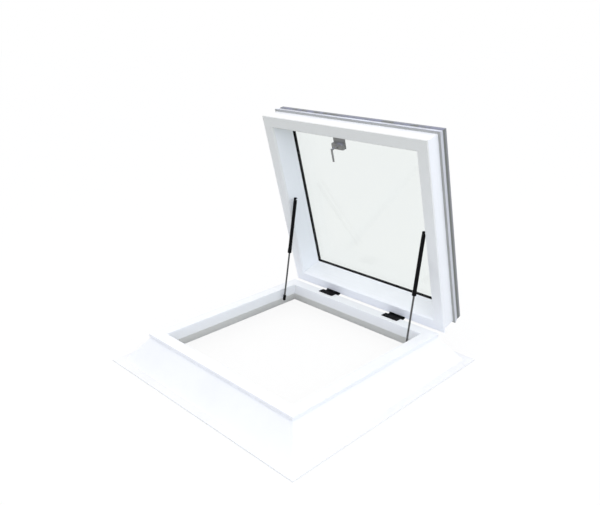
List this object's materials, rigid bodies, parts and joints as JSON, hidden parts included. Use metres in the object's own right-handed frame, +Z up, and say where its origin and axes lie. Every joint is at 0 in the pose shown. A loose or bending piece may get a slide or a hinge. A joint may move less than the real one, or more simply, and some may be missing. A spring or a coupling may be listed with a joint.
{
  "type": "roof hatch",
  "caption": "Square flat-roof access hatch: low splayed kerb with base flange, glazed lid hinged at the back, gas struts at both sides and a turning latch handle.",
  "frame": {"origin": "centre of the roof opening, level with the underside of the base flange", "axes": "+X along the hinge line, -Y towards the latch side, +Z up out of the roof"},
  "size_m": [1.306, 1.3574, 1.1894],
  "materials": {
    "kerb_white": "satin",
    "frame_white": "satin",
    "trim_grey": "satin",
    "clear_glass": "gloss",
    "black_seal": "matte",
    "hinge_black": "satin",
    "pin_steel": "satin",
    "strut_black": "gloss",
    "rod_steel": "polished",
    "bracket_steel": "satin",
    "latch_steel": "satin"
  },
  "bodies": {
    "lid": {"glazing_gasket": "black_seal", "hinge_lid_leaf_left": "hinge_black", "hinge_lid_leaf_right": "hinge_black", "inner_pane": "clear_glass", "latch_case": "latch_steel", "latch_plate": "latch_steel", "lid_frame_back": "frame_white", "lid_frame_front": "frame_white", "lid_frame_left": "frame_white", "lid_frame_right": "frame_white", "lid_trim_back": "trim_grey", "lid_trim_front": "trim_grey", "lid_trim_left": "trim_grey", "lid_trim_right": "trim_grey", "outer_pane": "clear_glass", "pane_spacer": "black_seal", "strut_lid_bracket_left": "bracket_steel", "strut_lid_bracket_right": "bracket_steel"},
    "kerb": {"hinge_kerb_leaf_left": "hinge_black", "hinge_kerb_leaf_right": "hinge_black", "hinge_pin_left": "pin_steel", "hinge_pin_right": "pin_steel", "kerb_rim_back": "kerb_white", "kerb_rim_front": "kerb_white", "kerb_rim_left": "kerb_white", "kerb_rim_right": "kerb_white", "kerb_wall_back": "kerb_white", "kerb_wall_front": "kerb_white", "kerb_wall_left": "kerb_white", "kerb_wall_right": "kerb_white", "latch_keeper": "latch_steel", "strut_kerb_bracket_left": "bracket_steel", "strut_kerb_bracket_right": "bracket_steel"},
    "handle": {"latch_lever": "latch_steel", "latch_spindle": "latch_steel", "latch_tongue": "latch_steel"},
    "rod_left": {"strut_rod_left": "rod_steel", "strut_rod_socket_left": "strut_black"},
    "rod_right": {"strut_rod_right": "rod_steel", "strut_rod_socket_right": "strut_black"},
    "tube_left": {"strut_tube_left": "strut_black", "strut_tube_socket_left": "strut_black"},
    "tube_right": {"strut_tube_right": "strut_black", "strut_tube_socket_right": "strut_black"}
  },
  "joints": [
    {"name": "lid_hinge", "type": "hinge", "parent": "kerb", "child": "lid", "pos_m": [0, 0.5255, 0.1335], "axis": [1, 0, 0], "range_deg": [0, 75]},
    {"name": "strut_head_left", "type": "hinge", "parent": "lid", "child": "tube_left", "pos_m": [-0.434, 0.44339, 0.68142], "axis": [1, 0, 0], "range_deg": [0, 9.57]},
    {"name": "strut_slide_left", "type": "slide", "parent": "tube_left", "child": "rod_left", "axis": [0, 0.159, 0.9873], "range_m": [0, 0.20355]},
    {"name": "strut_head_right", "type": "hinge", "parent": "lid", "child": "tube_right", "pos_m": [0.434, 0.44339, 0.68142], "axis": [1, 0, 0], "range_deg": [0, 9.57]},
    {"name": "strut_slide_right", "type": "slide", "parent": "tube_right", "child": "rod_right", "axis": [0, 0.159, 0.9873], "range_m": [0, 0.20355]},
    {"name": "handle_turn", "type": "hinge", "parent": "lid", "child": "handle", "pos_m": [0, 0.29846, 1.05618], "axis": [0, 0.9659, 0.2588], "range_deg": [0, 90]}
  ],
  "couplings": [
    {"joint": "strut_head_left", "follows": "lid_hinge", "ratio": 0.12743},
    {"joint": "strut_slide_left", "follows": "lid_hinge", "m_per_rad": 0.15542},
    {"joint": "strut_head_right", "follows": "lid_hinge", "ratio": 0.12743},
    {"joint": "strut_slide_right", "follows": "lid_hinge", "m_per_rad": 0.15542}
  ]
}
